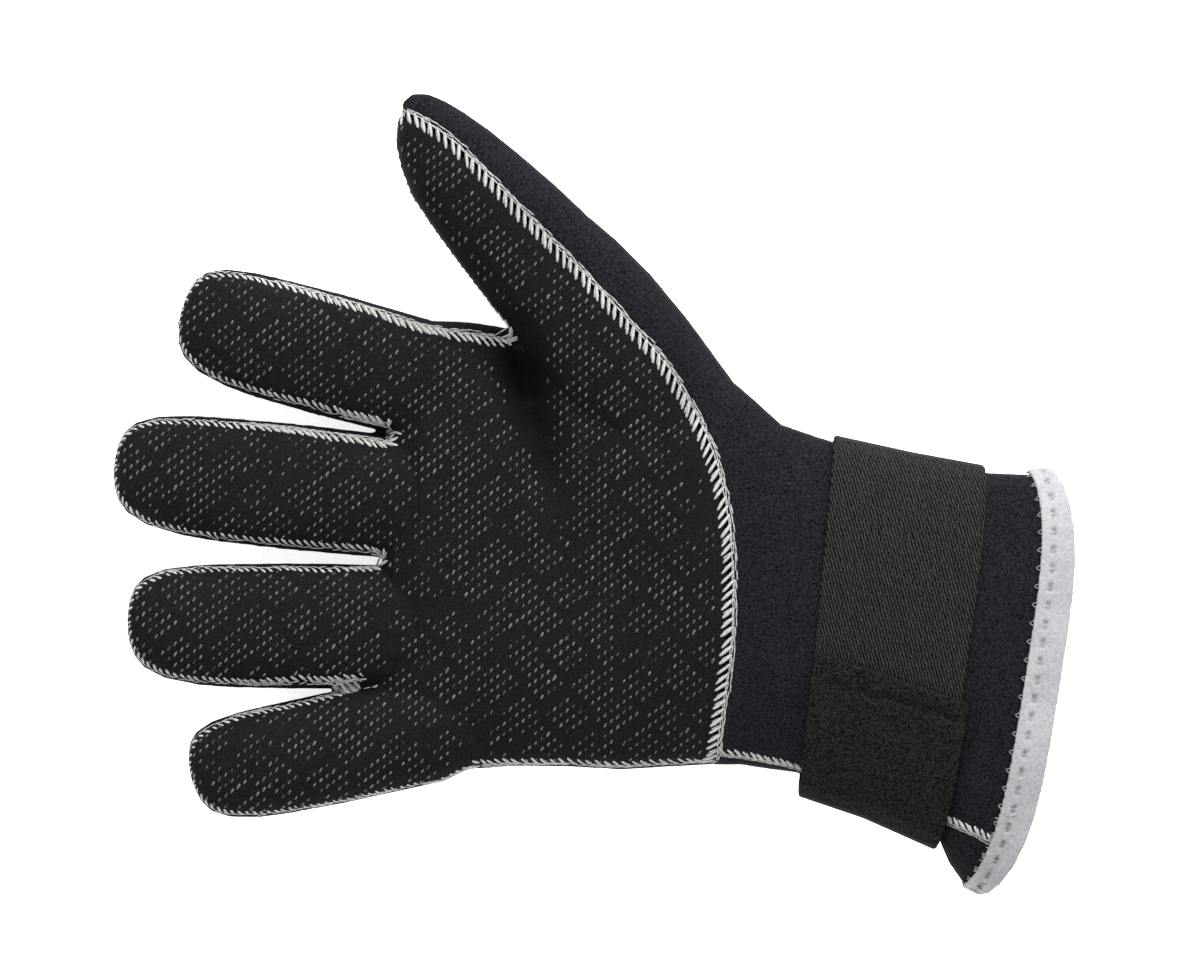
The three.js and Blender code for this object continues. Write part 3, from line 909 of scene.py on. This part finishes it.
def hem_path(work):
    """The closed edge of the cuff's tape on the outside of the glove."""
    points = np.array([vertex.co for vertex in work.verts])
    axial, angle, radius = wrist_places(work)
    path = []
    for start in np.linspace(math.pi, -math.pi, HEM_SLICES, endpoint=False):
        near = np.flatnonzero((angle <= start) & (angle > start - 2 * math.pi / HEM_SLICES))
        outer = near[radius[near] > OUTER_LEG * radius[near].max()]
        path.append(points[outer[axial[outer].argmin()]])
    path = resampled([*path, path[0]], PATH_STEP)[:-1]
    return evened(evened(path, EVENING, closed=True), EVENING, closed=True)


def strap_piece(node, name, material, sizes, row=()):
    """A band, tab or patch of the strap, with soft edges, a map and a pressed row if it has one."""
    work = even_copy(node, sizes.trim_face)
    relaxed(work, work.verts, STRAP_ROUNDS)
    strap_map(work)
    if len(row):
        pulled_in(work, row, TAB_PULL, TAB_PULL_WIDTH)
    piece = shown(work, name, material)
    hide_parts(node)
    return piece


def stitch_pitches(path, sizes):
    """The stitch pitch at each step of the palm's seam: shorter round the fingers."""
    crotch = from_photo(CROTCH_PIXEL)
    steps = (path[1:] + path[:-1]) / 2
    on_fingers = (steps[:, 0] < crotch.x) & (steps[:, 1] < crotch.y + FINGER_BAND)
    return np.where(on_fingers, sizes.finger_pitch, sizes.hand_pitch)


def overlock_places(stations, surface, reach, width):
    """Places of a seam's threads: each stitch has a leg, a thin one beside it and chain links.

    The legs run from the chain onto the cloth on the right, and forward. On steep sides only
    the leg and one link show.
    """
    chance = random.Random(RANDOM_SEED)
    places = []
    for (point, along, across, out), (ahead, *_) in zip(stations, stations[1:]):
        pitch = (ahead - point).length
        steepness = min(max(1 - out.z / STEEP, 0), 1)
        stretched = reach * (1 + STEEP_STRETCH * steepness)

        def at(over, forward, lift):
            place = point + across * (over * stretched + STEEP_SHIFT * steepness)
            return laid(surface, place + along * forward, out, lift * width)

        slant = chance.uniform(*LEG_SLANT) * (1 - STEEP_UPRIGHT * steepness)
        head = at(LEG_START, -LEG_BACK * reach, LEG_LIFT)
        foot = at(chance.uniform(*LEG_END), reach * slant, LEG_LIFT)
        leg_width = width * chance.uniform(*LEG_WIDTH)
        places.append(thread_place(head, foot, out, leg_width, LEG_HEIGHT * width))
        full = steepness < FULL_STITCH
        if full:
            head = at(THIN_LEG_START, THIN_LEG_LATER * pitch - reach, THIN_LEG_LIFT)
            forward = reach * slant - THIN_LEG_SHORT * pitch
            foot = at(chance.uniform(*THIN_LEG_END), forward, THIN_LEG_LIFT)
            thin = THIN_LEG_SIZE * width
            places.append(thread_place(head, foot, out, thin, thin))
        for over in CHAIN_LINES if full else STEEP_CHAIN_LINES:
            start = at(over + chance.uniform(*LINK_START), -LINK_REACH * pitch, LINK_LIFT)
            end = at(over + chance.uniform(*LINK_END), LINK_REACH * pitch, LINK_LIFT)
            places.append(thread_place(start, end, out, LINK_WIDTH * width, LINK_HEIGHT * width))
    return places


def hem_dimples(stations, surface, sizes):
    """The points where the cuff's stitches go through its tape, two side by side."""
    return [laid(surface, point + across * sizes.hem_reach + along * side * sizes.hem_pitch, out, 0)
            for point, along, across, out in stations for side in DIMPLE_SPREAD]


def hem_places(stations, surface, sizes):
    """Places of the threads that fan out from the tape's dimples and hook over its edge."""
    places = []
    width = CUFF_THREAD * sizes.thread_width
    thin = HOOK_SIZE * width
    for point, along, across, out in stations:
        def at(over, forward):
            place = point + across * over + along * forward * sizes.hem_pitch
            return laid(surface, place, out, CUFF_LIFT)

        foot = at(HOOK_REACH * sizes.stitch_reach, 0)
        for side in HOOK_SPREAD:
            edge = at(HOOK_EDGE * sizes.stitch_reach, side)
            places.append(thread_place(foot, edge, out, thin, thin))
        for side in DIMPLE_SPREAD:
            dimple = at(sizes.hem_reach, side)
            edge = at(FAN_EDGE * sizes.stitch_reach, FAN_SPREAD * side)
            places.append(thread_place(dimple, edge, out, width, FAN_HEIGHT * width))
    return places


def tape_end_places(stations, surface):
    """Places of the crowded threads where the two ends of the cuff's tape overlap."""
    chance = random.Random(RANDOM_SEED)
    knot = from_photo(TAPE_END_PIXEL)
    places = []
    for point, along, across, out in stations:
        if out.z < 0 or (point.xy - knot.xy).length > TAPE_END_REACH:
            continue
        start = point - across * chance.uniform(*KNOT_START) * MM
        end = point + (across * chance.uniform(*KNOT_END) + along * chance.uniform(*KNOT_LEAN)) * MM
        start, end = (laid(surface, place, out, KNOT_LIFT) for place in (start, end))
        places.append(thread_place(end, start, out, *KNOT_THREAD))
    return places


def cluster_gap(plan):
    """How much farther a dot lies from its second nearest cluster than from its nearest."""
    row = math.floor(2 * plan.y / CLUSTER.y)
    column = math.floor(plan.x / CLUSTER.x)
    distances = sorted(
        (plan - Vector(((across + 0.5 * (up % 2)) * CLUSTER.x, 0.5 * up * CLUSTER.y))).length
        for up in range(row - 1, row + 3) for across in range(column - 1, column + 3))
    return distances[1] - distances[0]


def dot_spots():
    """Where the grip dots could stand, in plan: one lattice that skips the clusters' edges."""
    low, high = (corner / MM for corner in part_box("palm_panel"))
    first, second = DOT_STEPS
    spots = []
    for i in range(math.floor(low.x / first.x), math.ceil(high.x / first.x)):
        base = first * i
        for j in range(math.floor((low.y - base.y) / second.y), math.ceil((high.y - base.y) / second.y)):
            plan = base + second * j
            if cluster_gap(plan) > CLUSTER_BAND:
                spots.append(plan)
    return spots


def dot_places(surface, seam, sizes):
    """Places of the grip dots, smaller and fewer where the rubber is worn and none in the fold."""
    fold = tree_of(fold_path())
    fold_steps = len(fold_path())
    heading = Vector((math.cos(math.radians(DOT_LEAN)), math.sin(math.radians(DOT_LEAN)), 0))
    places = []
    for plan in dot_spots():
        hit, normal, _, _ = surface.ray_cast(Vector((*plan * MM, RAY_START)), Vector((0, 0, -1)))
        if hit is None or normal.z < DOT_LEVEL or seam.find(hit)[2] < DOT_MARGIN:
            continue
        _, place, distance = fold.find((hit.x, hit.y, 0))
        if distance < FOLD_BARE * sizes.fold_width * (1 - place / fold_steps):
            continue
        wear = noise.noise(Vector((*plan * WEAR_WAVES, 0)))
        grain = noise.noise(Vector((*plan * GRAIN_WAVES, GRAIN_LAYER)))
        if wear + grain < WORN_OFF:
            continue
        size = 1 + GRAIN_SHARE * grain + WEAR_SHARE * wear
        run = (heading - normal * heading.dot(normal)).normalized() * sizes.dot_length * size
        places.append(thread_place(hit - run / 2, hit + run / 2, normal,
                                   sizes.dot_width * size, 2 * sizes.dot_height * size))
    return places


def soft_light(name, place, width, power):
    """A large square lamp that faces the glove."""
    data = bpy.data.lights.new(name, "AREA")
    data.size = width
    data.energy = power
    lamp = placed(name, data)
    lamp.location = place
    lamp.rotation_euler = (-Vector(place)).to_track_quat("-Z", "Y").to_euler()


# Operators

def chosen(scene):
    """The sizes and colours that a scene's glove is made with."""
    return scene.glove_sizes, scene.glove_colours


class GLOVE_OT_panels(bpy.types.Operator):
    """Make the two neoprene panels and pull their edges in along the seams"""

    bl_idname = "glove.panels"
    bl_label = "Neoprene Panels"

    def execute(self, context):
        sizes, colours = chosen(context.scene)
        foam_panel("palm_panel", "grip_palm_panel", grip_material_with_painted_shade(colours), sizes)
        foam_panel("back_panel", "smooth_back_panel", cloth_material("neoprene", colours),
                   sizes)
        return {"FINISHED"}


class GLOVE_OT_grip_dots(bpy.types.Operator):
    """Set the raised rubber dots on the palm panel"""

    bl_idname = "glove.grip_dots"
    bl_label = "Grip Dots"

    def execute(self, context):
        sizes, colours = chosen(context.scene)
        palm = surface_of(bpy.data.objects["grip_palm_panel"])
        places = dot_places(palm, tree_of(palm_seam()), sizes)
        work = scattered(dot_template(), places)
        shown(work, "grip_dots", cloth_material("dot", colours))
        return {"FINISHED"}


class GLOVE_OT_seams(bpy.types.Operator):
    """Sew the palm seam and the seam on the little finger's side of the wrist"""

    bl_idname = "glove.seams"
    bl_label = "Seam Stitches"

    def execute(self, context):
        sizes, colours = chosen(context.scene)
        surface = surface_of(bpy.data.objects["grip_palm_panel"],
                             bpy.data.objects["smooth_back_panel"])
        path = palm_seam()
        path = np.concatenate([path, path[:1]])
        palm_stations = seam_stations(path, stitch_pitches(path, sizes), surface, closed=True)
        reach, width = sizes.stitch_reach, sizes.thread_width
        places = overlock_places(palm_stations, surface, reach, width)
        thread = cloth_material("thread", colours)
        sewn(places, "palm_seam_stitches", thread)
        cuff_side = dropped(surface, CUFF_SEAM_PIXELS)
        side = [surface.find_nearest(from_photo(pixel, SIDE_SEAM_HEIGHT))[0]
                for pixel in SIDE_SEAM_PIXELS]
        places = []
        for path in (cuff_side, side):
            stations = seam_stations(path, sizes.finger_pitch, surface, closed=False)
            places += overlock_places(stations, surface, SIDE_REACH * reach, SIDE_WIDTH * width)
        sewn(places, "side_seam_stitches", thread)
        return {"FINISHED"}


class GLOVE_OT_cuff(bpy.types.Operator):
    """Make the folded tape that binds the cuff and the stitches that hold it"""

    bl_idname = "glove.cuff"
    bl_label = "Cuff Binding"

    def execute(self, context):
        sizes, colours = chosen(context.scene)
        work = even_copy("cuff_binding", TAPE_FINENESS * sizes.trim_face)
        relaxed(work, work.verts, TAPE_ROUNDS)
        path = hem_path(work)
        outside = outer_skin(work)
        stations = seam_stations(path, sizes.hem_pitch, outside, closed=True)
        crowded = seam_stations(path, sizes.tape_end_pitch, outside, closed=True)
        pulled_in(work, hem_dimples(stations, outside, sizes), sizes.dimple_depth, sizes.dimple_width)
        binding = cloth_material("binding", colours)
        tape = shown(work, "folded_cuff_tape", binding)
        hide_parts("cuff_binding")
        surface = surface_of(tape, bpy.data.objects["smooth_back_panel"])
        places = hem_places(stations, surface, sizes) + tape_end_places(crowded, surface)
        sewn(places, "cuff_stitches", cloth_material("cuff_thread", colours))
        return {"FINISHED"}


class GLOVE_OT_strap(bpy.types.Operator):
    """Make the elastic band, its sewn tab and the patch that the tab grips"""

    bl_idname = "glove.strap"
    bl_label = "Wrist Strap"

    def execute(self, context):
        sizes, colours = chosen(context.scene)
        elastic, patch, tape = (cloth_material(key, colours)
                                for key in ("elastic", "loop_tape", "hook_tape"))
        strap_piece("strap_band", "elastic_wrist_band", elastic, sizes)
        strap_piece("loop_patch", "loop_tape_patch", patch, sizes)
        whole = surface_of(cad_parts["strap_tab"])
        row = resampled(dropped(whole, TAB_ROW_PIXELS), PATH_STEP)
        row[:, 1] += TAB_WAVER * np.sin(TAB_WAVER_TURN * np.arange(len(row)))
        tab = strap_piece("strap_tab", "hook_tape_tab", tape, sizes, row)
        surface = surface_of(tab)
        places = []
        for point, along, _, out in seam_stations(row, TAB_PITCH, surface, closed=False):
            half = along * TAB_STITCH / 2
            start, end = (laid(surface, place, out, 0) for place in (point - half, point + half))
            places.append(thread_place(start, end, out, *TAB_THREAD))
        sewn(places, "tab_stitches", cloth_material("dark_thread", colours))
        return {"FINISHED"}


class GLOVE_OT_studio(bpy.types.Operator):
    """Set up the pale floor, the soft light and the camera over the palm"""

    bl_idname = "glove.studio"
    bl_label = "Studio"

    def execute(self, context):
        sizes, colours = chosen(context.scene)
        work = bmesh.new()
        bmesh.ops.create_grid(work, x_segments=4, y_segments=4, size=FLOOR_HALF,
                              matrix=Matrix.Translation((0, 0, FLOOR_DROP)))
        floor = placed("floor", mesh_of(work, "floor"))
        floor.data.materials.append(floor_material(colours))
        for name, place, width, power in LAMPS:
            soft_light(name, place, width, power)
        world = context.scene.world or bpy.data.worlds.new("studio")
        context.scene.world = world
        world.use_nodes = True
        backdrop = world.node_tree.nodes["Background"]
        backdrop.inputs["Color"].default_value = (1, 1, 1, 1)
        backdrop.inputs["Strength"].default_value = BACKDROP
        context.scene.view_settings.view_transform = "Standard"
        data = bpy.data.cameras.new("camera")
        data.lens = sizes.camera_lens
        data.clip_start = CAMERA_NEAR
        camera = placed("camera", data)
        width, height = PHOTO_SIZE
        middle = from_photo((width / 2, height / 2), CAMERA_AIM)
        distance = width * PHOTO_PIXEL * data.lens / data.sensor_width
        camera.location = middle + Vector((0, 0, distance))
        data.clip_end = 2 * distance
        context.scene.camera = camera
        return {"FINISHED"}


class GLOVE_PT_build(bpy.types.Panel):
    """Lists the steps that dress the glove"""

    bl_idname = "GLOVE_PT_build"
    bl_label = "Diving Glove"
    bl_space_type = "VIEW_3D"
    bl_region_type = "UI"
    bl_category = "Glove"

    def draw(self, context):
        for operator in OPERATORS:
            self.layout.operator(operator.bl_idname)
        for group in (context.scene.glove_sizes, context.scene.glove_colours):
            box = self.layout.box()
            for name in group.__annotations__:
                box.prop(group, name)


OPERATORS = (
    GLOVE_OT_panels,
    GLOVE_OT_grip_dots,
    GLOVE_OT_seams,
    GLOVE_OT_cuff,
    GLOVE_OT_strap,
    GLOVE_OT_studio,
)
CLASSES = (GloveSizes, GloveColours, *OPERATORS, GLOVE_PT_build)


def register():
    for each in CLASSES:
        bpy.utils.register_class(each)
    bpy.types.Scene.glove_sizes = PointerProperty(type=GloveSizes)
    bpy.types.Scene.glove_colours = PointerProperty(type=GloveColours)


def unregister():
    del bpy.types.Scene.glove_colours
    del bpy.types.Scene.glove_sizes
    for each in reversed(CLASSES):
        bpy.utils.unregister_class(each)


def main():
    """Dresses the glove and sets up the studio."""
    register()
    bpy.ops.glove.panels()
    bpy.ops.glove.grip_dots()
    bpy.ops.glove.seams()
    bpy.ops.glove.cuff()
    bpy.ops.glove.strap()
    bpy.ops.glove.studio()


if __name__ == "__main__":
    main()
